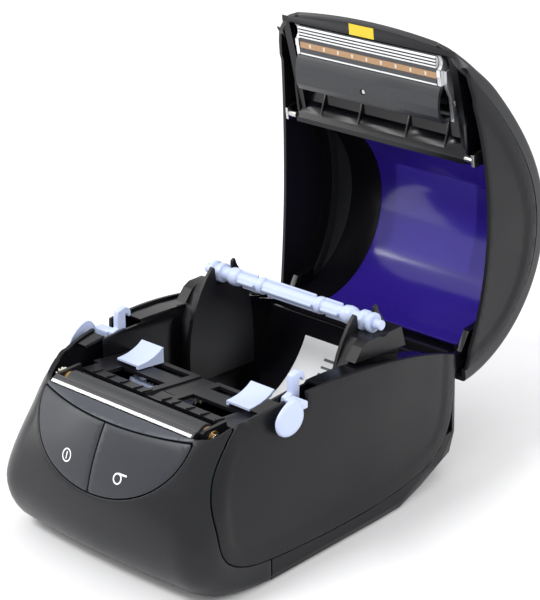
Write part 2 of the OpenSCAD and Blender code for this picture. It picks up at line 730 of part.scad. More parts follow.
module lid_frame() {
    color(dark) opened() union() {
        both_sides() {
            // side ribs around the roll, with a foot on the lid's side
            difference() {
                along_x(bay_x, bay_x + 2) intersection() {
                    lid_section(wall + 0.3, 0);
                    polygon([[-44, 110], [-44, 170], [140, 170], [140, 88], [108, 88]]);
                }
                rod_x(69, 73, bay_y, bay_z, lid_bay_r);
                along_x(69, 73) polygon([[20, 90], [20, 122], [90, 122], [90, 90]]);
            }
            // hinge arms
            difference() {
                along_x(72.2, 76.4) union() {
                    translate([hinge_y, hinge_z]) circle(r = 9);
                    polygon([[hinge_y - 9, hinge_z], [hinge_y - 6.5, 88], [100, 96.5],
                        [100, 108], [118, 108], [121.5, 92], [hinge_y + 5, 80],
                        [hinge_y + 7.4, 74]]);
                }
                rod_x(70, 90, hinge_y, hinge_z, hinge_pin_r + 0.06);
            }
            along_x(71, 75) polygon([[100, 98], [100, 112], [116, 108], [121, 96], [112, 92]]);
        }
        // roof of the cylinder beside the window
        roll_roof(-71, -45.3);
        roll_roof(69.8, 71);
        // beam that carries the head
        along_x(-71, 71) polygon([[-71, 113], [-60, 114.4], [-44, 118], [-24, 115],
            [-24, 117.4], [-44, 120.4], [-61, 117]]);
        // lip over the cutter
        intersection() {
            lid_front_prism(wall + 0.2);
            block(-66, 66, -93, -84.4, 101.9, 103.2);
        }
        both_sides() along_x(65.8, 71.5) polygon([[-88, 102], [-84.4, 101.9], [-60, 106.2],
            [-20, 111.4], [-13, 112.6], [-13, 130], [-24, 132], [-45, 126],
            [-60, 118.4], [-72, 112], [-84, 103.4]]);
        // ribbed shelf behind the head
        along_x(-62, 62) polygon([[-26, 117], [-25, 115], [-15, 107.2], [-11.8, 107.2],
            [-11.8, 108.6], [-14.4, 108.8], [-23, 117.4]]);
        for (x = [-52, -20, 20, 52]) along_x(x, x + 1.4) polygon([[-34, 118.4], [-34, 116.4],
            [-24, 112], [-12, 107.4], [-12, 109], [-23, 118]]);
        both_sides() along_x(61.5, 71) polygon([[-26, 117], [-25, 115], [-15, 107.2],
            [-11.8, 107.2], [-11.8, 112], [-23, 119]]);
    }
}
// Curved sheet over the roll between x0 and x1, from behind the head to the hinge
module roll_roof(x0, x1) {
    difference() {
        along_x(x0, x1) intersection() {
            translate([bay_y, bay_z]) circle(r = lid_bay_r + 1.6, $fn = 360);
            polygon([[-12, 128], [-12, 170], [140, 170], [140, 92], [100, 92], [100, 120],
                [60, 120]]);
        }
        rod_x(x0 - 1, x1 + 1, bay_y, bay_z, lid_bay_r);
        along_x(x0 - 1, x1 + 1) polygon([[60, 90], [105, 90], [105, 112], [90, 120], [60, 120]]);
    }
}
module lid_window() {
    color([0.2, 0.12, 0.55, 0.6]) opened() roll_roof(-45, 69.5);
}
module latch_catches() {
    color(steel) opened() both_sides() union() {
        rod_x(71.2, 78, -16, 108, 2);
        along_x(77.4, 79.4) polygon([[-20, 105.6], [-12, 105.8], [-10, 124], [-22, 124]]);
    }
}
module lid_label() {
    color([0.95, 0.85, 0.1]) opened() block(-13.5, 7, -92, -84.6, 101.62, 101.88);
}

// ---- print head, drawn with the lid shut ----
module head_heatsink() {
    color([0.9, 0.91, 0.92]) opened() union() {
        along_x(-57, 57) polygon([[-83, head_z], [-75.2, head_z], [-75.2, 102.6], [-63.6, 102.6],
            [-63.6, 109.5], [-74, 109.5], [-79, 106.6], [-83, 103.6]]);
        for (x = [-42, 0, 42]) translate([x, -68, 109]) cylinder(r = 1.6, h = 2);
    }
}
module head_element() {
    color([0.75, 0.6, 0.42]) opened() union() {
        block(-56.6, 56.6, -75.1, -63.6, head_z + 0.9, head_z + 2.15);
    }
}
module head_cover() {
    color([0.2, 0.21, 0.23]) opened() difference() {
        along_x(-59.5, 59.5) polygon([[-63.2, 104], [-63.2, 101.4], [-61.5, 100],
            [-57, 98.4], [-50, 97.4], [-44, 97.8], [-40, 99.6], [-38.2, 103], [-38.2, 110.6],
            [-41, 110.6], [-41, 104], [-44, 100.6], [-50, 99.8], [-56.6, 100.8], [-60.8, 103]]);
        translate([-2, -49, 90]) cylinder(r = 1.9, h = 20);
    }
}
module head_screw() {
    color(steel) opened() translate([-2, -49, 98.4]) cylinder(r = 1.6, h = 16.5);
}
module head_bracket(side) {
    color([0.8, 0.82, 0.83]) opened() difference() {
        union() {
            along_x(side > 0 ? 57.3 : -60, side > 0 ? 60 : -57.3) union() {
                intersection() {
                    translate([-77, 101]) circle(r = 7.4);
                    polygon([[-83.6, 98], [-83.6, 103], [-79, 106.4], [-68, 109.4], [-63.6, 98]]);
                }
                polygon([[-83, 101], [-83, 103.4], [-79, 106.4], [-74, 109.4], [-63.6, 109.4],
                    [-63.6, 101.4], [-74, 100.8]]);
            }
            along_x(side > 0 ? 60.1 : -62.4, side > 0 ? 62.4 : -60.1)
                polygon([[-73, 104], [-73, 110], [-52, 112.6], [-38, 112.6], [-38, 109],
                [-54, 107.8], [-62, 104]]);
            block(side > 0 ? 59.9 : -60.3, side > 0 ? 60.3 : -59.9, -72, -63, 104.5, 109);
        }
        rod_x(-70, 70, -79, 98.2, 5.6);
        block(-70, 70, -100, -50, 80, 100.6);
    }
}
module head_bracket_left() { head_bracket(-1); }
module head_bracket_right() { head_bracket(1); }
module head_springs() {
    color(steel) opened() for (x = [-42, 0, 42]) translate([x, -68, 109.6]) difference() {
        cylinder(r = 2.8, h = 3.2);
        translate([0, 0, -1]) cylinder(r = 1.9, h = 8);
    }
}
module head_wire_spring() {
    color(steel) opened() union() {
        rod_x(63, 65.4, -50, 110.4, 2.6);
        block(63.6, 64.4, -64, -50, 112.1, 112.9);
    }
}

bottom_case();
front_cover();
side_panel_left();
side_panel_right();
rear_cover();
main_frame();
roll_trough();
print_deck();
front_beam();
front_trim();
tear_bar();
roll_support_left();
roll_support_right();
spindle();
bay_label();
platen_roller();
platen_shaft();
platen_bushings();
platen_gear();
idler_gear();
idler_stud();
motor_pinion();
stepper_motor();
guide_left();
guide_right();
guide_pinion();
media_sensor();
latch_left();
latch_right();
latch_pivots();
power_button();
feed_button();
button_board();
main_board();
dc_jack();
usb_port();
serial_port();
rubber_feet();
case_screws();
hinge_pins();
lid_top_cover();
lid_side_left();
lid_side_right();
lid_frame();
lid_window();
latch_catches();
lid_label();
head_heatsink();
head_element();
head_cover();
head_bracket_left();
head_bracket_right();
head_springs();
head_wire_spring();
head_screw();
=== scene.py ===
import json
import math

import bmesh
import bpy
import numpy as np
from mathutils import Matrix
from mathutils.geometry import delaunay_2d_cdt


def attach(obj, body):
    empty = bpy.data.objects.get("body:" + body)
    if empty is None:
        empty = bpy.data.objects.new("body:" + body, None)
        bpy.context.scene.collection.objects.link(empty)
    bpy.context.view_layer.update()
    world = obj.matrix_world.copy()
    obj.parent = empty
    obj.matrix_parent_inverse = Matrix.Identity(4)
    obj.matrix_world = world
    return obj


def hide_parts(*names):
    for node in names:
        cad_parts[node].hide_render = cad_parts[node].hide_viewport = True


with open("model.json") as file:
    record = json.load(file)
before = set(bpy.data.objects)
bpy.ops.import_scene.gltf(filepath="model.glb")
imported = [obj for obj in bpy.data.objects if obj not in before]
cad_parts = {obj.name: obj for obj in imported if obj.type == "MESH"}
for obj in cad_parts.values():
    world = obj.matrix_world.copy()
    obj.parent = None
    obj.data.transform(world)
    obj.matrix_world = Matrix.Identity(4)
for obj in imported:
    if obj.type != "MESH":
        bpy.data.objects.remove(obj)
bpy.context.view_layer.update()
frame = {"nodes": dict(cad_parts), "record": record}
NODES = frame["nodes"]
BODY = {n: b for b, ns in frame["record"]["behaviour"]["bodies"].items() for n in ns}
SLOT = {s["node"]: s["material_slot"] for s in frame["record"]["subparts"]}
MM = 0.001
scene = bpy.context.scene

# ---------------------------------------------------------------- camera
AZ, EL, ROLL = (math.radians(a) for a in (43.51, 22.54, -1.22))
CAM_AT = (829.5, -836.1, 624.8)


def camera_axes():
    right = np.array([math.cos(AZ), math.sin(AZ), 0])
    back = np.array([math.sin(AZ) * math.cos(EL), -math.cos(AZ) * math.cos(EL), math.sin(EL)])
    up = np.cross(back, right)
    x = right * math.cos(ROLL) + up * math.sin(ROLL)
    y = -right * math.sin(ROLL) + up * math.cos(ROLL)
    return x, y, back


cam = bpy.data.objects.new("camera", bpy.data.cameras.new("camera"))
scene.collection.objects.link(cam)
scene.camera = cam
cam.data.sensor_width = 36
cam.data.lens = 124.7
cam.data.clip_end = 20
rows = camera_axes()
cam.matrix_world = Matrix([[rows[0][i], rows[1][i], rows[2][i], CAM_AT[i] * MM] for i in range(3)]
                          + [[0, 0, 0, 1]])


# ---------------------------------------------------------------- materials
def rgb(r, g, b):
    return (r, g, b, 1.0)


def material(name, color, rough, vary=0.1, blotch=25.0, grain=1400.0, bump=0.03, metal=0.0,
             coat=0.0, spec=0.5, rough_vary=0.06, stretch=(1, 1, 1)):
    m = bpy.data.materials.new(name)
    m.use_nodes = True
    n, links = m.node_tree.nodes, m.node_tree.links
    p = n["Principled BSDF"]
    p.inputs["Metallic"].default_value = metal
    p.inputs["Coat Weight"].default_value = coat
    p.inputs["Coat Roughness"].default_value = 0.08
    p.inputs["Specular IOR Level"].default_value = spec
    tc = n.new("ShaderNodeTexCoord")
    mp = n.new("ShaderNodeMapping")
    mp.inputs["Scale"].default_value = stretch
    links.new(tc.outputs["Object"], mp.inputs["Vector"])

    def noise(scale, detail):
        t = n.new("ShaderNodeTexNoise")
        t.inputs["Scale"].default_value = scale
        t.inputs["Detail"].default_value = detail
        links.new(mp.outputs["Vector"], t.inputs["Vector"])
        return t

    big, fine = noise(blotch, 4.0), noise(grain, 2.0)
    mix = n.new("ShaderNodeMixRGB")
    mix.blend_type = "MIX"
    mix.inputs["Color1"].default_value = rgb(*(c * (1 - vary) for c in color))
    mix.inputs["Color2"].default_value = rgb(*(min(1, c * (1 + vary)) for c in color))
    add = n.new("ShaderNodeMath")
    add.operation = "MULTIPLY_ADD"
    links.new(fine.outputs["Fac"], add.inputs[0])
    add.inputs[1].default_value = 0.5
    half = n.new("ShaderNodeMath")
    half.operation = "MULTIPLY"
    links.new(big.outputs["Fac"], half.inputs[0])
    half.inputs[1].default_value = 0.5
    links.new(half.outputs["Value"], add.inputs[2])
    links.new(add.outputs["Value"], mix.inputs["Fac"])
    links.new(mix.outputs["Color"], p.inputs["Base Color"])
    mr = n.new("ShaderNodeMapRange")
    mr.inputs["From Min"].default_value = 0.3
    mr.inputs["From Max"].default_value = 0.7
    mr.inputs["To Min"].default_value = max(0.02, rough - rough_vary)
    mr.inputs["To Max"].default_value = min(1.0, rough + rough_vary)
    links.new(big.outputs["Fac"], mr.inputs["Value"])
    links.new(mr.outputs["Result"], p.inputs["Roughness"])
    b = n.new("ShaderNodeBump")
    b.inputs["Strength"].default_value = bump
    b.inputs["Distance"].default_value = 0.0002
    links.new(fine.outputs["Fac"], b.inputs["Height"])
    links.new(b.outputs["Normal"], p.inputs["Normal"])
    return m


def window_material():
    m = material("violet_window", (0.03, 0.014, 0.25), 0.14, vary=0.12, coat=0.3, bump=0.01,
                 rough_vary=0.03)
    n, links = m.node_tree.nodes, m.node_tree.links
    clear = n.new("ShaderNodeBsdfTransparent")
    clear.inputs["Color"].default_value = rgb(0.42, 0.36, 0.95)
    mix = n.new("ShaderNodeMixShader")
    mix.inputs["Fac"].default_value = 0.22
    links.new(n["Principled BSDF"].outputs["BSDF"], mix.inputs[1])
    links.new(clear.outputs["BSDF"], mix.inputs[2])
    links.new(mix.outputs["Shader"], n["Material Output"].inputs["Surface"])
    return m


FINISHES = {        # name: colour, roughness and what differs from the usual
    "dark_shell": ((0.006, 0.006, 0.0075), 0.42, dict(vary=0.3, bump=0.16, spec=0.26)),
    "graphite_shell": ((0.008, 0.0083, 0.0105), 0.33, dict(vary=0.35, bump=0.14, spec=0.3)),
    "grey_cover": ((0.02, 0.0205, 0.0235), 0.34, dict(vary=0.15, bump=0.08, spec=0.4)),
    "inner_black": ((0.003, 0.003, 0.0045), 0.2, dict(vary=0.25, bump=0.03, spec=0.3)),
    "deck_black": ((0.007, 0.007, 0.0085), 0.34, dict(vary=0.2, bump=0.06, spec=0.32)),
    "pale_blue_plastic": ((0.5, 0.57, 0.78), 0.34, dict(vary=0.05, bump=0.03)),
    "ivory_plastic": ((0.6, 0.56, 0.47), 0.45, dict(vary=0.05)),
    # blue_grey_trim is painted light: the keys' dark plastic made lighter on the crescent facet
    "blue_grey_trim": ((0.042, 0.048, 0.06), 0.4, dict(vary=0.12, bump=0.08)),
    "button_plastic": ((0.013, 0.0155, 0.022), 0.42, dict(vary=0.2, bump=0.08)),
    "steel": ((0.55, 0.54, 0.52), 0.24,
        dict(vary=0.08, metal=1.0, grain=900, bump=0.06, stretch=(0.05, 1, 1))),
    # bright_metal is also the painted highlight on the tear bar's teeth and front lip
    "bright_metal": ((0.72, 0.73, 0.74), 0.3,
        dict(vary=0.05, metal=0.85, grain=900, bump=0.04, stretch=(0.05, 1, 1))),
    "bronze": ((0.5, 0.3, 0.12), 0.32, dict(vary=0.25, metal=0.9, bump=0.08)),
    "motor_can": ((0.1, 0.1, 0.11), 0.45, dict(vary=0.15, metal=0.5)),
    "platen_rubber": ((0.022, 0.023, 0.027), 0.5, dict(vary=0.12, bump=0.12)),
    "foot_rubber": ((0.02, 0.02, 0.021), 0.75, dict(vary=0.2, bump=0.2)),
    "head_ceramic": ((0.36, 0.2, 0.09), 0.28, dict(vary=0.12, coat=0.3)),
    "paper_label": ((0.78, 0.79, 0.8), 0.5, dict(vary=0.03, bump=0.05)),
    "yellow_label": ((0.66, 0.5, 0.012), 0.4, dict(vary=0.05, bump=0.03)),
    "board_green": ((0.02, 0.11, 0.05), 0.35, dict(vary=0.25, coat=0.2)),
    "black_plastic": ((0.012, 0.012, 0.013), 0.4, dict(vary=0.2)),
    # dark_steel serves as painted shade on the tear bar's underside, back and top and in the
    # heatsink bar's grooves
    "dark_steel": ((0.09, 0.09, 0.095), 0.3,
        dict(vary=0.2, metal=0.9, grain=900, bump=0.06, stretch=(0.05, 1, 1))),
    "ink_white": ((0.85, 0.86, 0.88), 0.5, dict(vary=0.03)),
    "ink_dark": ((0.1, 0.1, 0.11), 0.5, dict(vary=0.1)),
    "head_dark": ((0.03, 0.031, 0.036), 0.3, dict(vary=0.2, coat=0.1)),
    "cover_charcoal": ((0.016, 0.0175, 0.021), 0.33, dict(vary=0.15, bump=0.05)),
}
MAT = {name: material(name, color, rough, **more) for name, (color, rough, more) in FINISHES.items()}
MAT["violet_window"] = window_material()


# ---------------------------------------------------------------- mesh helpers
def unit(v):
    return v / np.maximum(np.linalg.norm(v, axis=-1, keepdims=True), 1e-12)


def add_object(name, verts_mm, faces, mat, body, node=None, smooth_angle=32, mats=None,
               face_mats=None):
    me = bpy.data.meshes.new(name)
    me.from_pydata([tuple(float(c) * MM for c in v) for v in verts_mm], [], faces)
    me.validate()
    for p in me.polygons:
        p.use_smooth = True
    for m in (mats or [mat]):
        me.materials.append(MAT[m])
    if face_mats is not None:
        for p, k in zip(me.polygons, face_mats):
            p.material_index = k
    me.update()
    me.set_sharp_from_angle(angle=math.radians(smooth_angle))
    o = bpy.data.objects.new(name, me)
    scene.collection.objects.link(o)
    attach(o, body)
    if node:
        nodes = [node] if isinstance(node, str) else node
        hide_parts(*nodes)
    return o


def fix_normals(o):
    bm = bmesh.new()
    bm.from_mesh(o.data)
    bmesh.ops.recalc_face_normals(bm, faces=bm.faces)
    bm.to_mesh(o.data)
    bm.free()
    return o


HINGE = np.array([0, 117.7, 69.8])
OPEN = math.radians(84.5)


def opened(p):
    """Points drawn with the lid shut, turned to where they are with the lid open."""
    p = np.asarray(p, float) - HINGE
    c, s = math.cos(OPEN), math.sin(OPEN)
    return np.stack([p[:, 0], p[:, 1] * c + p[:, 2] * s, -p[:, 1] * s + p[:, 2] * c], 1) + HINGE


def refined(node, width=0.35, mat=None, segments=2, angle=35):
    """The CAD solid with its edges rounded as a moulding's or a stamping's are."""
    bm = bmesh.new()
    bm.from_mesh(NODES[node].data)
    bmesh.ops.remove_doubles(bm, verts=bm.verts, dist=2e-6)
    bmesh.ops.dissolve_limit(bm, angle_limit=math.radians(0.6), verts=bm.verts, edges=bm.edges)
    me = bpy.data.meshes.new(node + "_piece")
    bm.to_mesh(me)
    bm.free()
    me.materials.clear()
    me.materials.append(MAT[mat or SLOT[node]])
    for p in me.polygons:
        p.use_smooth = True
        p.material_index = 0
    me.set_sharp_from_angle(angle=math.radians(angle))
    o = bpy.data.objects.new(node + "_piece", me)
    scene.collection.objects.link(o)
    if width:
        b = o.modifiers.new("edges", "BEVEL")
        b.width = width * MM
        b.segments = segments
        b.limit_method = "ANGLE"
        b.angle_limit = math.radians(angle)
        b.use_clamp_overlap = True
        b.harden_normals = True
    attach(o, BODY[node])
    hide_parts(node)
    return o


def bezier(a, b, c, d, n):
    t = np.linspace(0, 1, n + 1)[:, None]
    a, b, c, d = (np.array(q, float) for q in (a, b, c, d))
    return a * (1 - t) ** 3 + 3 * b * t * (1 - t) ** 2 + 3 * c * t * t * (1 - t) + d * t ** 3


def resample(loop, step):
    out = []
    for a, b in zip(loop, np.roll(loop, -1, 0)):
        k = max(1, int(math.ceil(np.linalg.norm(b - a) / step)))
        out += [a + (b - a) * j / k for j in range(k)]
    return np.array(out)


def area(loop):
    n = np.roll(loop, -1, 0)
    return 0.5 * np.sum(loop[:, 0] * n[:, 1] - n[:, 0] * loop[:, 1])


def inward(loop, d):
    t1, t2 = unit(loop - np.roll(loop, 1, 0)), unit(np.roll(loop, -1, 0) - loop)
    n1 = np.stack([-t1[:, 1], t1[:, 0]], 1)
    n2 = np.stack([-t2[:, 1], t2[:, 0]], 1)
    k = np.maximum(1 + np.sum(n1 * n2, 1), 0.6)
    return loop + (n1 + n2) / k[:, None] * d


def inside(pts, loops):
    hit = np.zeros(len(pts), bool)
    for loop in loops:
        a, b = loop, np.roll(loop, -1, 0)
        for (x0, y0), (x1, y1) in zip(a, b):
            if y0 == y1:
                continue
            c = (pts[:, 1] > min(y0, y1)) & (pts[:, 1] <= max(y0, y1))
            hit ^= c & (pts[:, 0] < x0 + (pts[:, 1] - y0) * (x1 - x0) / (y1 - y0))
    return hit


def gap_to(pts, loop, closed=True):
    best = np.full(len(pts), 1e9)
    a = loop if closed else loop[:-1]
    b = np.roll(loop, -1, 0) if closed else loop[1:]
    for p, q in zip(a, b):
        d = q - p
        t = np.clip(((pts - p) @ d) / max(d @ d, 1e-12), 0, 1)
        best = np.minimum(best, np.linalg.norm(pts - p - t[:, None] * d, axis=1))
    return best


def smoothstep(x):
    x = np.clip(x, 0, 1)
    return x * x * (3 - 2 * x)


def round_max(a, b, r):
    return np.minimum(-r, np.maximum(a, b)) + np.hypot(np.maximum(a + r, 0), np.maximum(b + r, 0))


def march(f, origin, direction, far):
    lo, hi = np.zeros(len(origin)), np.full(len(origin), far)
    for _ in range(26):
        mid = (lo + hi) / 2
        outside = f(origin + direction * mid[:, None]) > 0
        hi = np.where(outside, mid, hi)
        lo = np.where(outside, lo, mid)
    return origin + direction * ((lo + hi) / 2)[:, None]


def gradient(f, p):
    g = np.zeros_like(p)
    for i in range(3):
        e = np.zeros(3)
        e[i] = 0.08
        g[:, i] = f(p + e) - f(p - e)
    return unit(g)


def panel(name, loops, surface, thick, mat, body, node, step=3.2, edge=0.5, sink=None, turn=None,
          edge_step=2.2):
    """A moulding: a region of a smooth surface, given by closed outlines in the surface's own
    plane, with rounded edges and an inner face. surface gives points and outward normals."""
    rings = []
    for i, loop in enumerate(loops):
        loop = resample(np.asarray(loop, float), edge_step)
        if (area(loop) > 0) != (i == 0):
            loop = loop[::-1]
        rings.append(loop)
    rows2 = [inward(r, edge) for r in rings]
    lo, hi = rings[0].min(0), rings[0].max(0)
    gx = np.arange(lo[0], hi[0], step)
    gy = np.arange(lo[1], hi[1], step * 0.87)
    grid = np.array([(x + (j % 2) * step / 2, y) for j, y in enumerate(gy) for x in gx])
    grid = grid[inside(grid, rows2)]
    for r in rows2:
        grid = grid[gap_to(grid, r) > step * 0.55]
    flat = np.vstack(rows2 + [grid])
    cons, k = [], 0
    for r in rows2:
        n = len(r)
        cons += [(k + i, k + (i + 1) % n) for i in range(n)]
        k += n
    out = delaunay_2d_cdt([tuple(map(float, p)) for p in flat], cons, [], 0, 1e-5)
    orig = [o[0] if o else -1 for o in out[3]]
    tris = np.array([[orig[v] for v in f] for f in out[2] if all(orig[v] >= 0 for v in f)])
    tris = tris[inside(flat[tris].mean(1), rows2)]
    a = flat[tris]
    flip = np.cross(a[:, 1] - a[:, 0], a[:, 2] - a[:, 0]) < 0
    tris[flip] = tris[flip][:, ::-1]
    depth = [(0.0, edge), (0.29 * edge, 0.29 * edge)]
    pts, normals = surface(flat)
    extra = sink(flat, pts) if sink else np.zeros(len(flat))
    verts = [pts - normals * extra[:, None], pts - normals * (thick + extra)[:, None]]
    nf = len(flat)
    faces = [tuple(t) for t in tris] + [tuple(nf + v for v in t[::-1]) for t in tris]
    base, k = 2 * nf, 0
    for r in rings:
        n = len(r)
        rows_at = []
        for d, dep in depth + [(0.0, thick)]:
            q = inward(r, d) if d else r
            p, nn = surface(q)
            ex = sink(q, p) if sink else np.zeros(n)
            verts.append(p - nn * (dep + ex)[:, None])
            rows_at.append(base)
            base += n
        r0, r1, rin = rows_at
        for i in range(n):
            j = (i + 1) % n
            faces.append((r0 + i, r0 + j, r1 + j, r1 + i))
            faces.append((r1 + i, r1 + j, k + j, k + i))
            faces.append((rin + i, rin + j, r0 + j, r0 + i))
            faces.append((nf + k + i, nf + k + j, rin + j, rin + i))
        k += n
    verts = np.vstack(verts)
    if turn is not None:
        verts = turn(verts)
    return fix_normals(add_object(name, verts, faces, mat, body, node, smooth_angle=50))


# ---------------------------------------------------------------- the shape of the base
EDGE_R = 2.0        # rounding of the bottom edge
WIDE_X, WIDE_Y, TAPER = 89.7, 33, 9.3        # widest half width, where, and its loss 100 mm away
BOW_X = 68        # how far out the bow of the front is stated


def half_w(y):
    return WIDE_X - TAPER * ((y - WIDE_Y) / 100) ** 2


FRONT = np.vstack([bezier((-99, -0.5), (-113, 3.5), (-125.4, 16), (-124.4, 38), 60),
                   bezier((-124.4, 38), (-124.4, 56), (-115, 78), (-105, 93.4), 80)[1:],
                   [(-99.5, 100), (-90, 110), (-82, 118)]])
ZS = np.linspace(-1, 117, 473)
YF = np.interp(ZS, FRONT[:, 1], FRONT[:, 0])
YF = np.convolve(np.pad(YF, 6, "edge"), np.hanning(13) / np.hanning(13).sum(), "valid")
DYF = np.gradient(YF, ZS)
BOW = 3 + 6 * np.clip((ZS - 37) / 41, 0, 1)
BOW = np.convolve(np.pad(BOW, 30, "edge"), np.hanning(61) / np.hanning(61).sum(), "valid")


def side_at(y, z):
    lean = np.where(y < WIDE_Y, (np.clip(z - 30, 0, None) / 75) ** 1.5, 1.0)
    under = np.maximum(0, 0.267 * (y - 60) - 0.945 * z)
    return WIDE_X - TAPER * ((y - WIDE_Y) / 100) ** 2 * lean - under


def f_side(p):
    x, y, z = p.T
    return (np.abs(x) - side_at(y, z)) / np.sqrt(1 + (2 * TAPER / 100 * (y - WIDE_Y) / 100) ** 2)


def f_base(p):
    x, y, z = p.T
    bow = np.interp(z, ZS, BOW)
    front = np.interp(z, ZS, YF) + bow * (x / BOW_X) ** 2 - y
    front = front / np.sqrt(1 + np.interp(z, ZS, DYF) ** 2 + (2 * bow * x / BOW_X ** 2) ** 2)
    f = round_max(f_side(p), front, 18.0)
    return round_max(round_max(f, y - 127, 8.0), -z, EDGE_R)


def f_front(p):
    """The base with the sloping facet in front of the tear bar."""
    return round_max(f_base(p), (p[:, 2] - 97.5 - 0.353 * (p[:, 1] + 93.4)) / 1.06, 0.8)


FAN = 47.0        # length given to each corner when the surface is unrolled
SPINE_X, SPINE_Y = 45.0, 85.0        # the points that the corners fan out from


def height(v):
    """Height over the underside; below EDGE_R the domain runs on around the bottom edge."""
    low = EDGE_R - EDGE_R * np.sin(np.clip((EDGE_R - v) / EDGE_R, 0, math.pi / 2))
    return np.where(v < EDGE_R, low, v)


def base_wrap(sign, f_base=f_base):
    """Surface of the base unrolled around the front (sign -1) or the rear (sign +1)."""
    def surface(q):
        u, z = q[:, 0], height(q[:, 1])
        s, w = np.sign(u), np.abs(u)
        a = np.clip((w - SPINE_X) / FAN, 0, 1) * math.pi / 2
        along = np.maximum(w - SPINE_X - FAN, 0)
        o = np.stack([s * np.minimum(w, SPINE_X), sign * (SPINE_Y - along), z], 1)
        d = np.stack([s * np.sin(a), sign * np.cos(a), np.zeros(len(u))], 1)
        p = march(f_base, o, d, 70.0)
        return p, gradient(f_base, p)
    return surface


def unrolled(pts):
    """Where points of the base's surface lie in the plane of base_wrap(-1)."""
    x, y, z = np.asarray(pts, float).T
    w = np.abs(x)
    out_y = -y - SPINE_Y
    ang = np.arctan2(np.maximum(w - SPINE_X, 0), np.maximum(out_y, 1e-9))
    u = np.where(out_y <= 0, SPINE_X + FAN - out_y,
                 np.where(w <= SPINE_X, w, SPINE_X + FAN * ang / (math.pi / 2)))
    return np.stack([np.where(x < 0, -u, u), z], 1)


def on_side(yz, side=1):
    """Points of the base's side surface over (y, z)."""
    yz = np.asarray(yz, float)
    o = np.stack([np.full(len(yz), side * 20.0), yz[:, 0], yz[:, 1]], 1)
    d = np.tile([side * 1.0, 0, 0], (len(yz), 1))
    return march(f_base, o, d, 90.0)


def on_front(xz, f_base=f_base):
    xz = np.asarray(xz, float)
    o = np.stack([xz[:, 0], np.full(len(xz), -50.0), xz[:, 1]], 1)
    d = np.tile([0, -1.0, 0], (len(xz), 1))
    return march(f_base, o, d, 90.0)


def rim(n=40, dz=0.0):
    return bezier((-72, 103.5 + dz), (-20, 112.5 + dz), (52, 112 + dz), (124, 82 + dz), n)


def rim_z(y):
    r = rim(80)
    return np.interp(y, r[:, 0], r[:, 1])


PANEL = np.vstack([bezier((-66, 109), (-84, 94), (-101.6, 74), (-101.6, 54), 16),
                   bezier((-101.4, 40), (-100.4, 27), (-90, 18), (-62, 14.7), 14),
                   bezier((-48, 13.4), (0, 10.2), (42, 10.4), (84, 16.2), 14),
                   bezier((90, 17.6), (104, 21), (114, 30), (118, 44), 10),
                   bezier((119.4, 50), (121, 58), (121.8, 66), (122, 84), 6), [[122, 110]]])
INSET = np.vstack([bezier((-56, 120), (-72, 98), (-91.6, 74), (-92, 54), 16),
                   bezier((-92, 42), (-91, 30), (-84, 25.5), (-62, 24), 12),
                   bezier((-48, 22.8), (0, 20), (42, 20.6), (80, 26.4), 14),
                   bezier((86, 27.6), (100, 31), (107, 40), (109, 54), 10), [[111, 80], [111, 124]]])


def grown(loop, d):
    c = np.array([17.0, 62.0])
    v = loop - c
    return loop + v / np.linalg.norm(v, axis=1, keepdims=True) * d


SEAM = 0.35
PANEL_EXTRA = 0.25        # the moulding's seam is a little wider than the CAD's
COVER_END = -60.2        # where the front cover meets the bottom case
DISH_X, DISH_Z, DISH_TOP = 63.5, 41.5, 94.0      # the half oval that holds the two keys
KEY_GAP = 0.6


def side_region():
    """The side panel's outline below the rim, in (y, z)."""
    return PANEL[PANEL[:, 1] < rim_z(PANEL[:, 0]) - 0.3]


def side_surface(side):
    def surface(q):
        p = on_side(q, side)
        return p, gradient(f_base, p)
    return surface


def side_sink(q, pts):
    d = gap_to(q, INSET, closed=False)
    deep = np.where(inside(q, [np.vstack([INSET, [[103, 200], [-65, 200]]])]), d, -d)
    return 1.1 * smoothstep((deep + 1.0) / 2.6)


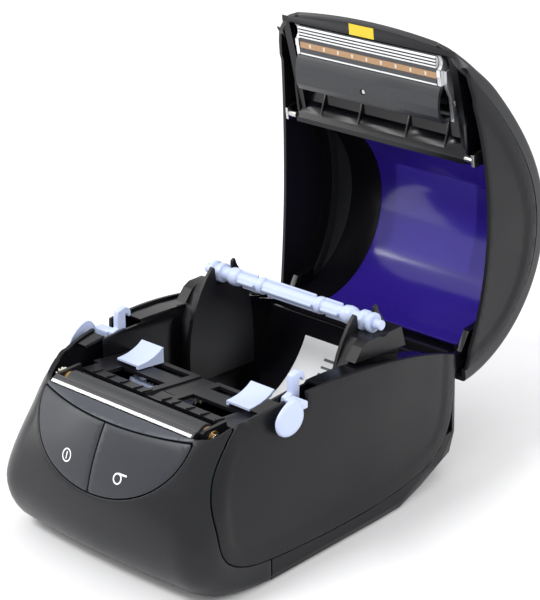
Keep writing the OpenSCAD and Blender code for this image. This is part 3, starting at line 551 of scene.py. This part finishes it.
def build_base():
    keep = side_region()
    ys = np.array([keep[0, 0] + 0.6, keep[-1, 0]])
    r = rim(60)
    r = r[(r[:, 0] > ys[0]) & (r[:, 0] < ys[1])][::-1]
    # the latch's notch in the rim
    back, front, floor_z = -22.2, -38.8, 99.2
    notch = np.array([[back, rim_z(back)], [back, floor_z],
                      [front, floor_z], [front, rim_z(front)]])
    r = np.vstack([r[r[:, 0] > back], notch, r[r[:, 0] < front]])
    loop = np.vstack([keep, r])
    for side, name in ((1, "side_panel_right"), (-1, "side_panel_left")):
        panel(name + "_moulding", [loop], side_surface(side), 2.6, "dark_shell", "base", name,
              sink=side_sink, edge=0.6)

    # front cover, unrolled around the front
    grown_panel = grown(PANEL, SEAM + PANEL_EXTRA)
    front_edge = grown_panel[grown_panel[:, 1] < rim_z(grown_panel[:, 0]) - 0.2]
    front_edge = front_edge[front_edge[:, 0] < COVER_END]
    a, b = front_edge[0], front_edge[-1]
    right_edge = unrolled(on_side(front_edge))
    end_u = unrolled(on_side([[COVER_END, 10.0]]))[0, 0]
    low = -1.1
    rim_pts = np.array([[a[0], a[1] + 0.1], [-76, 102.1], [-80, 100.6], [-84, 98.8]])
    top_right = unrolled(on_side(rim_pts))
    corner = unrolled(on_front([[70, 97.3], [66, 97.1], [64.4, 97.0]]))
    arcs = [(DISH_X * math.cos(t), DISH_TOP + DISH_Z * math.sin(t))
            for t in np.linspace(0, -math.pi, 61)]
    arc_u = unrolled(on_front(np.array(arcs)))
    right = [[end_u, low], [end_u, b[1] - 0.2]]
    right = np.vstack([right, right_edge[::-1][1:], top_right[1:], corner, [[arc_u[0, 0], 96.9]]])
    left = right[::-1] * [-1, 1]
    loop = np.vstack([right, arc_u, left])
    panel("front_cover_moulding", [loop], base_wrap(-1), 3.0, "graphite_shell", "base",
          "front_cover", edge=0.7, edge_step=1.8)

    # front trim crescent and the two buttons; the crescent's lighter blue-grey is painted light: the
    # same dark key plastic, lightened where its upward sloping facet catches more light
    def arc_z(x, dz=0.0):
        return 93.2 + dz + 2.2 * (x / 60) ** 2

    xs = np.linspace(-62.6, 62.6, 41)
    low_arc = np.stack([xs, arc_z(xs)], 1)
    top = np.array([[62.9, 97.0], [40, 97.0], [0, 97.0], [-40, 97.0], [-62.9, 97.0]])
    loop = unrolled(on_front(np.vstack([low_arc, top]), f_front))
    panel("front_trim_moulding", [loop], base_wrap(-1, f_front), 2.0, "blue_grey_trim", "base",
          "front_trim", edge=0.25, edge_step=1.6, step=1.6)
    for side, name in ((-1, "power_button"), (1, "feed_button")):
        ts = np.linspace(-0.02, -math.pi / 2 + 0.008, 40)
        half = np.stack([(DISH_X - KEY_GAP) * np.cos(ts),
                         DISH_TOP + (DISH_Z - KEY_GAP) * np.sin(ts)], 1)
        half = half[(half[:, 1] < arc_z(half[:, 0], -0.75)) & (half[:, 0] > 0.45)]
        xs = np.linspace(0.45, half[0, 0] - 1.0, 24)
        upper = np.stack([xs, arc_z(xs, -0.75)], 1)
        loop = np.vstack([half, [[0.45, half[-1, 1]]], upper]) * [side, 1]
        panel(name + "_key", [unrolled(on_front(loop))], base_wrap(-1), 2.4, "button_plastic", name,
              name, edge=0.6, edge_step=1.6)


build_base()

# ---------------------------------------------------------------- signs on the two buttons
def on_keys(p):
    pts, n = base_wrap(-1)(p)
    return pts + n * 0.12, n


def ring(cx, cz, r):
    t = np.linspace(0, 2 * math.pi, 40, endpoint=False)
    return unrolled(on_front(np.stack([cx + r * np.cos(t), cz + r * np.sin(t)], 1)))


def box_mark(x0, x1, z0, z1):
    return unrolled(on_front([(x0, z0), (x1, z0), (x1, z1), (x0, z1)]))


def mark(name, loops, body):
    panel(name, loops, on_keys, 0.4, "ink_white", body, body, step=1.2, edge=0.06, edge_step=0.5)


mark("power_sign_ring", [ring(-22.5, 68, 3.9), ring(-22.5, 68, 3.15)], "power_button")
mark("power_sign_bar", [box_mark(-22.9, -22.1, 65.9, 70.1)], "power_button")
mark("feed_sign_ring", [ring(21.8, 67.2, 3.3), ring(21.8, 67.2, 2.4)], "feed_button")
mark("feed_sign_strip", [box_mark(21.8, 28.2, 69.5, 70.6)], "feed_button")


# ---------------------------------------------------------------- the lid's outside
CROWN, CROWN_Y = 164.4, 37        # the highest line of the closed lid
LID_FRONT, LID_CORNER = -95.5, 14
REAR_Z, REAR_R = 85, 93.5        # centre height and depth of the lid's round rear
HOLE_X, HOLE_Y = 36, (30, 92)        # the opening over the window
SECTION_FRONT = bezier((LID_FRONT, 103), (-50, CROWN - 29.6), (-8, CROWN), (CROWN_Y, CROWN), 400)


def lid_section():
    """The lid's curved outline from the front edge over the crown to the rear, and its normals."""
    y_marks = np.concatenate([np.linspace(LID_FRONT, -84, 7), np.linspace(-80, 30, 34),
                              [33.5, CROWN_Y]])
    front = np.stack([y_marks, np.interp(y_marks, SECTION_FRONT[:, 0], SECTION_FRONT[:, 1])], 1)
    a0 = math.acos(55 / REAR_R)
    a = np.concatenate([np.linspace(math.pi / 2, a0, 13)[1:], np.linspace(a0, 0, 20)[1:]])
    rear = np.stack([CROWN_Y + REAR_R * np.cos(a), REAR_Z + (CROWN - REAR_Z) * np.sin(a)], 1)
    pts = np.vstack([front, rear])
    t = unit(np.gradient(pts, axis=0))
    return pts, np.stack([-t[:, 1], t[:, 0]], 1)


def lid_half_w(y):
    shift = 3.5 * smoothstep((y - 36) / 28)
    return half_w(y - shift)


def lid_corner(y):
    """How much narrower the lid is at its rounded front corners."""
    back = LID_CORNER - np.clip(y - LID_FRONT, 0, LID_CORNER)
    return LID_CORNER - np.sqrt(np.maximum(0, LID_CORNER ** 2 - back ** 2))


def front_bow(x, y):
    """How far the lid's front edge bows back, dying out behind it."""
    return 5.5 * (x / 70) ** 2 * (1 - smoothstep((y - LID_FRONT) / 40))


def lid_low(y):
    """The lower edge of the closed lid."""
    return 102 + (rim_z(y) - 100.6) * smoothstep((y + 86) / 14) if y < 20 else -1


def build_lid():
    sec, nrm = lid_section()
    r, depth, t = 3.0, 9.0, 3.0        # edge radius, depth of the border, thickness
    flat = np.concatenate([np.linspace(-1, -0.5, 9), np.linspace(-0.5, 0.5, 11)[1:-1],
                           np.linspace(0.5, 1, 9)])
    angles = np.radians([0, 22.5, 45, 67.5, 90])
    verts, n_out = [], 0
    for (y, z), n in zip(sec, nrm):
        w = lid_half_w(np.array([y]))[0] - lid_corner(y)
        beside = np.sign(flat) * (HOLE_X + (np.abs(flat) - 0.5) * 2 * (w - r - HOLE_X))
        xs = np.where(np.abs(flat) <= 0.5, flat * 2 * HOLE_X, beside)
        outer = [(x, 0.0) for x in xs]
        inner = [(x * (w - t) / (w - r) if abs(x) > HOLE_X + 0.01 else x, t) for x in xs]
        round_o = [(w - r + r * math.sin(a), r - r * math.cos(a)) for a in angles[1:]]
        side_o = [(w, d) for d in (5.0, 7.0, depth)]
        side_i = [(w - t, max(t, d)) for _, d in round_o] + [(w - t, d) for d in (5.0, 7.0, depth)]
        right_o, right_i = round_o + side_o, side_i
        out_row = [(-x, d) for x, d in right_o[::-1]] + outer + right_o
        in_row = [(-x, d) for x, d in right_i[::-1]] + inner + right_i
        n_out = len(out_row)
        for x, d in out_row + in_row:
            yy, zz = y - n[0] * d, z - n[1] * d
            verts.append((x, yy + front_bow(x, yy), max(zz, lid_low(yy))))
    k = len(right_o)
    m = 2 * n_out

    def open_at(i, j):
        x0 = (flat[j - k] + flat[j - k + 1]) / 2 if k <= j < k + len(flat) - 1 else 9
        mid = (sec[i, 0] + sec[i + 1, 0]) / 2
        return abs(x0) < 0.5 and HOLE_Y[0] < mid < HOLE_Y[1]

    faces = []
    rows_n = len(sec)
    for i in range(rows_n - 1):
        for j in range(n_out - 1):
            a, b, c, d = i * m + j, i * m + j + 1, (i + 1) * m + j + 1, (i + 1) * m + j
            if open_at(i, j):
                for (p, q), nb in (((a, b), (i - 1, j)), ((d, c), (i + 1, j)), ((a, d), (i, j - 1)),
                                   ((b, c), (i, j + 1))):
                    if not open_at(*nb):
                        faces.append((p, q, q + n_out, p + n_out))
                continue
            faces.append((a, b, c, d))
            faces.append((a + n_out, d + n_out, c + n_out, b + n_out))
        for j in (0, n_out - 1):
            a, d = i * m + j, (i + 1) * m + j
            faces.append((a, d, d + n_out, a + n_out))
    for i in (0, rows_n - 1):
        for j in range(n_out - 1):
            a, b = i * m + j, i * m + j + 1
            faces.append((a, b, b + n_out, a + n_out))
    fix_normals(add_object("lid_top_cover_moulding", opened(verts), faces, "grey_cover",
                           BODY["lid_top_cover"], "lid_top_cover", smooth_angle=40))

    # the two sides, set back inside a raised border
    curve = sec - nrm * (depth + 0.4)
    curve = curve[(curve[:, 1] > 84) & (curve[:, 0] > -80)]
    low = rim(30, 1.4)[::-1]
    low = low[(low[:, 0] < curve[-1, 0]) & (low[:, 0] > -72)]
    loop = np.vstack([curve, low, [[-76, 105.2]]])
    for side, name in ((1, "lid_side_right"), (-1, "lid_side_left")):
        def surface(q, side=side):
            e = 0.1        # step of the slope's difference
            slope = (lid_half_w(q[:, 0] + e) - lid_half_w(q[:, 0] - e)) / (2 * e)
            x = lid_half_w(q[:, 0]) - lid_corner(q[:, 0] - 4)
            n = unit(np.stack([np.full(len(q), side * 1.0), -slope, np.zeros(len(q))], 1))
            return np.stack([side * x, q[:, 0], q[:, 1]], 1), n

        def sink(q, pts):
            return 1.2 * smoothstep((gap_to(q, curve, closed=False) - 8.5) / 2.2)

        panel(name + "_moulding", [loop], surface, 2.6, "dark_shell", BODY[name], name, sink=sink,
              edge=0.6, turn=opened, step=3.0)


build_lid()


# ---------------------------------------------------------------- the sticker in the trough
BAY, BAY_R = (48, 97), 66        # axis (y, z) and radius of the trough


def build_sticker():
    def patch(x0, x1, y0, y1, r0, r1, nx, ny):
        a0, a1 = (math.asin((y - BAY[0]) / BAY_R) for y in (y0, y1))
        xs, aa = np.linspace(x0, x1, nx + 1), np.linspace(a0, a1, ny + 1)
        v = [(x, BAY[0] + r * math.sin(a), BAY[1] - r * math.cos(a))
             for r in (r0, r1) for a in aa for x in xs]
        w, m = nx + 1, (nx + 1) * (ny + 1)
        f = []
        for j in range(ny):
            for i in range(nx):
                q = (j * w + i, j * w + i + 1, (j + 1) * w + i + 1, (j + 1) * w + i)
                f += [q, tuple(m + c for c in q[::-1])]
        edge = ([(i, i + 1) for i in range(nx)]
                + [(j * w + nx, (j + 1) * w + nx) for j in range(ny)]
                + [(ny * w + i + 1, ny * w + i) for i in reversed(range(nx))]
                + [((j + 1) * w, j * w) for j in range(ny)])
        f += [(a, a + m, b + m, b) for a, b in edge]
        return v, f

    def place(name, mat, parts):
        v, f = [], []
        for a, b in parts:
            f += [tuple(len(v) + c for c in q) for q in b]
            v += a
        fix_normals(add_object(name, v, f, mat, BODY["bay_label"], "bay_label"))

    place("bay_label_sheet", "paper_label", [patch(-33.8, 35.8, 52.2, 107.4, 65.98, 65.8, 24, 24)])
    lines = [patch(-12, 22, y, y + 1.1, 65.79, 65.7, 10, 2) for y in (101, 97.6)]
    lines += [patch(-12, 6, 94.2, 95.3, 65.79, 65.7, 6, 2)]
    lines += [patch(-24 + 2.3 * i, -23.2 + 2.3 * i, 58, 72, 65.79, 65.7, 1, 8) for i in range(16)]
    place("bay_label_lines", "ink_dark", lines)


build_sticker()


# ---------------------------------------------------------------- the cutter
def build_tear_bar():
    xs = np.linspace(-60, 60, 241)
    verts, faces, painted_light_faces = [], [], []
    prof = [(-94.4, 97.2), (-93.8, 96.2), (-92.8, 96.0), (-88.6, 99.2), (-88.9, 100.2),
            (-90, 100.3), (-92.6, 98.6)]
    for i, x in enumerate(xs):
        for k, (y, z) in enumerate(prof):
            bite = 0.7 if (i % 2 and k in (0, 1)) else 0.0
            verts.append((x, y + bite, z + bite * 0.5))
    n = len(prof)
    for i in range(len(xs) - 1):
        for k in range(n):
            a, b = i * n + k, i * n + (k + 1) % n
            faces.append((a, b, b + n, a + n))
            # one steel blade: the teeth and front lip get bright metal as a painted highlight, the
            # underside, back and top get dark steel as painted shade
            painted_light_faces.append(1 if k in (2, 3, 4, 5) else 0)
    faces += [tuple(range(n)), tuple(range((len(xs) - 1) * n, len(xs) * n))]
    painted_light_faces += [0, 0]
    o = add_object("tear_bar_blade", verts, faces, "bright_metal", "base", "tear_bar",
                   mats=["bright_metal", "dark_steel"], face_mats=painted_light_faces)
    fix_normals(o)


build_tear_bar()


# ---------------------------------------------------------------- the latch levers
def prism_x(outline, x0, x1):
    n = len(outline)
    v = [(x, y, z) for x in (x0, x1) for y, z in outline]
    f = [tuple(range(n))[::-1], tuple(range(n, 2 * n))]
    f += [(i, (i + 1) % n, n + (i + 1) % n, n + i) for i in range(n)]
    return v, f


def tube_faces(rows_n, n):
    """Faces of a closed tube of rows_n rings of n points, with its two ends."""
    f = [(j * n + i, j * n + (i + 1) % n, (j + 1) * n + (i + 1) % n, (j + 1) * n + i)
         for j in range(rows_n - 1) for i in range(n)]
    return f + [tuple(range(n)), tuple(range((rows_n - 1) * n, rows_n * n))]


def soften(o, width, segments=3, angle=30):
    b = o.modifiers.new("edges", "BEVEL")
    b.width, b.segments = width * MM, segments
    b.limit_method = "ANGLE"
    b.angle_limit = math.radians(angle)
    b.harden_normals = True
    return o


def build_latches():
    arm = np.vstack([[(-34, 80), (-26, 79.5), (-25, 88)],
                     bezier((-21, 95), (-19.2, 99), (-19.2, 104), (-19.2, 112), 5),
                     bezier((-18.9, 113.8), (-17.2, 114), (-16.8, 112), (-16.2, 110.9), 3),
                     bezier((-14.6, 111.6), (-13.6, 116.6), (-17, 118.3), (-20, 118.3), 6),
                     bezier((-24.4, 118.3), (-26.1, 117), (-26.1, 112), (-26.2, 106), 5)[1:],
                     [(-31, 104.6), (-33, 92)]])
    bridge = [(-32.5, 100.2), (-25, 100.2), (-25, 104.8), (-32.5, 104.8)]
    t = np.linspace(0, 2 * math.pi, 49)[:-1]
    up = np.sin(t)
    wide = 11.8 * np.where(up > 0, 1 - 0.22 * up ** 2, 1)
    egg = np.stack([-41.5 + wide * np.cos(t) + np.where(up > 0, 3.2 * up ** 2, 0),
                    98.6 + np.where(up > 0, 12.2, 10.6) * up], 1)
    mid = np.array([-41, 99.0])
    for side, name in ((1, "latch_right"), (-1, "latch_left")):
        for part, outline, x0, x1, round_r in (("_arm", arm, 72.3, 76.8, 0.9),
                                               ("_bridge", bridge, 76, 88.6, 0.8)):
            v, f = prism_x(outline, x0, x1)
            v = [(side * a, b, c) for a, b, c in v]
            o = add_object(name + part, v, f, "pale_blue_plastic", name, name)
            soften(fix_normals(o), round_r)
        rings = [(88.0, 0.93), (87.9, 0.97), (88.3, 1.0), (89.2, 0.985), (90.0, 0.92), (90.55, 0.8),
                 (90.85, 0.6), (91.0, 0.35)]
        v = [(side * x, *(mid + (e - mid) * k)) for x, k in rings for e in egg]
        fix_normals(add_object(name + "_lobe", v, tube_faces(len(rings), len(egg)),
                               "pale_blue_plastic", name, name, smooth_angle=60))


build_latches()

# ---------------------------------------------------------------- the print head and the spindle
def build_head():
    z0, grooves = 100.4, []
    for y in (-81.3, -79.2, -77.1):
        grooves += [(y - 0.45, z0), (y - 0.3, z0 + 0.9), (y + 0.3, z0 + 0.9), (y + 0.45, z0)]
    outline = [(-83, z0 + 0.5), (-82.5, z0)] + grooves + [
        (-75.6, z0), (-75.2, z0 + 0.4), (-75.2, 102.6), (-63.6, 102.6), (-63.6, 109.5), (-74, 109.5),
        (-79, 106.6), (-83, 103.6)]
    v, f = prism_x(outline, -57, 57)
    painted_light_faces = [0] * len(f)
    # the groove walls and floors get dark steel as painted shade in the grooves of the one bright
    # bar
    for i in range(len(grooves)):        # after the two ends and the first two sides
        painted_light_faces[4 + i] = 1 if i % 4 != 3 else 0
    o = add_object("head_heatsink_bar", opened(v), f, "bright_metal", BODY["head_heatsink"],
                   "head_heatsink", mats=["bright_metal", "dark_steel"], face_mats=painted_light_faces)
    fix_normals(o)
    for i, x in enumerate((-42, 0, 42)):
        t = np.linspace(0, 2 * math.pi, 24, endpoint=False)
        v = [(x + r * math.cos(a), -68 + r * math.sin(a), z)
             for r, z in ((1.6, 109), (1.6, 110.8), (1.35, 111)) for a in t]
        fix_normals(add_object(f"head_heatsink_post_{i}", opened(v), tube_faces(3, len(t)),
                               "bright_metal", BODY["head_heatsink"], "head_heatsink"))

    def slab(name, y0, y1, mat, lower=0.0, x0=-56.6, x1=56.6):
        a, b = z0 + 0.9 - lower, z0 + 2.15
        c = 0.15
        v, f = prism_x([(y0, b), (y0, a + c), (y0 + c, a), (y1 - c, a), (y1, a + c), (y1, b)],
                       x0, x1)
        fix_normals(add_object(name, opened(v), f, mat, BODY["head_element"], "head_element"))

    slab("head_element_driver_cover", -75.1, -72.3, "head_dark")
    slab("head_element_ceramic", -72.3, -68.1, "head_ceramic")
    slab("head_element_resin", -68.1, -64.9, "head_dark", 0.2)
    slab("head_element_edge", -64.9, -63.6, "bright_metal", 0.05)
    for i in range(9):
        x = -48 + 12 * i
        slab(f"head_element_mark_{i}", -71.6, -68.9, "ivory_plastic", 0.06, x - 0.7, x + 0.7)


def build_spindle():
    y0, z0 = 58, 121.5
    half = [(0, 4.4), (22, 4.4), (23, 5.4), (25, 5.7), (27, 5.4), (28, 4.4), (44, 4.4), (45.4, 5.6),
            (49, 6.1), (52, 5.6), (53.4, 4.5), (58, 4.5), (58.8, 5.2), (59, 6.1), (59.5, 6.4),
            (62.6, 6.4), (63.2, 5.9), (63.8, 5.0), (65.4, 5.0), (66, 5.9), (66.6, 6.4), (68.6, 6.4),
            (69, 6.0), (69.05, 3.2), (74.6, 3.2), (75, 2.8)]
    prof = [(-x, r) for x, r in half[:0:-1]] + half
    n = 48
    t = np.linspace(0, 2 * math.pi, n, endpoint=False)
    v = [(x, y0 + r * math.cos(a), z0 + r * math.sin(a)) for x, r in prof for a in t]
    fix_normals(add_object("spindle_core", v, tube_faces(len(prof), n), "pale_blue_plastic",
                           BODY["spindle"], "spindle"))
    for i in range(4):
        a = i * math.pi / 2
        c, s = math.cos(a), math.sin(a)
        rib = [(-1.0, 3.5), (1.0, 3.5), (0.8, 6.0), (0.4, 6.2), (-0.4, 6.2), (-0.8, 6.0)]
        for j, (x0, x1) in enumerate(((-43, -29), (-21, 21), (29, 43))):
            v, f = prism_x([(y0 + c * p - s * q, z0 + s * p + c * q) for p, q in rib], x0, x1)
            o = add_object(f"spindle_rib_{i}_{j}", v, f, "pale_blue_plastic", BODY["spindle"],
                           "spindle")
            soften(fix_normals(o), 0.3, 2)


build_head()
build_spindle()

# ---------------------------------------------------------------- the rest of the CAD nodes
FINISH = {"front_beam": "deck_black", "print_deck": "deck_black", "roll_support_left": "deck_black",
          "roll_support_right": "deck_black", "latch_catches": "steel",
          "head_cover": "cover_charcoal"}
for node, obj in NODES.items():
    if not obj.hide_render:
        refined(node, 0.3, FINISH.get(node))

# ---------------------------------------------------------------- floor and light
floor = bpy.data.meshes.new("floor")
floor.from_pydata([(-6, -6, -0.0015), (6, -6, -0.0015), (6, 6, -0.0015), (-6, 6, -0.0015)], [],
                  [(0, 1, 2, 3)])
floor_obj = bpy.data.objects.new("floor", floor)
scene.collection.objects.link(floor_obj)
floor.materials.append(material("floor_pale", (0.86, 0.86, 0.87), 0.7, vary=0.01, grain=40,
                                bump=0.0))

world = bpy.data.worlds.new("world")
scene.world = world
world.use_nodes = True
world.node_tree.nodes["Background"].inputs["Color"].default_value = rgb(1, 1, 1)
world.node_tree.nodes["Background"].inputs["Strength"].default_value = 1.0


def area_light(name, at, look, size, power):
    d = bpy.data.lights.new(name, "AREA")
    d.shape = "RECTANGLE"
    d.size, d.size_y = size
    d.energy = power
    o = bpy.data.objects.new(name, d)
    scene.collection.objects.link(o)
    z = unit(np.array(at, float) - np.array(look, float))
    x = unit(np.cross([0, 0, 1], z))
    y = np.cross(z, x)
    o.matrix_world = Matrix([[x[i], y[i], z[i], at[i]] for i in range(3)] + [[0, 0, 0, 1]])


area_light("key", (-0.5, -1.3, 1.9), (0, 0, 0.1), (0.7, 0.5), 26)
area_light("rim", (1.7, 0.9, 1.3), (0, 0, 0.15), (0.5, 1.2), 16)
area_light("strip", (-1.5, -0.9, 0.8), (0, 0, 0.08), (0.3, 1.3), 9)

scene.view_settings.view_transform = "Standard"
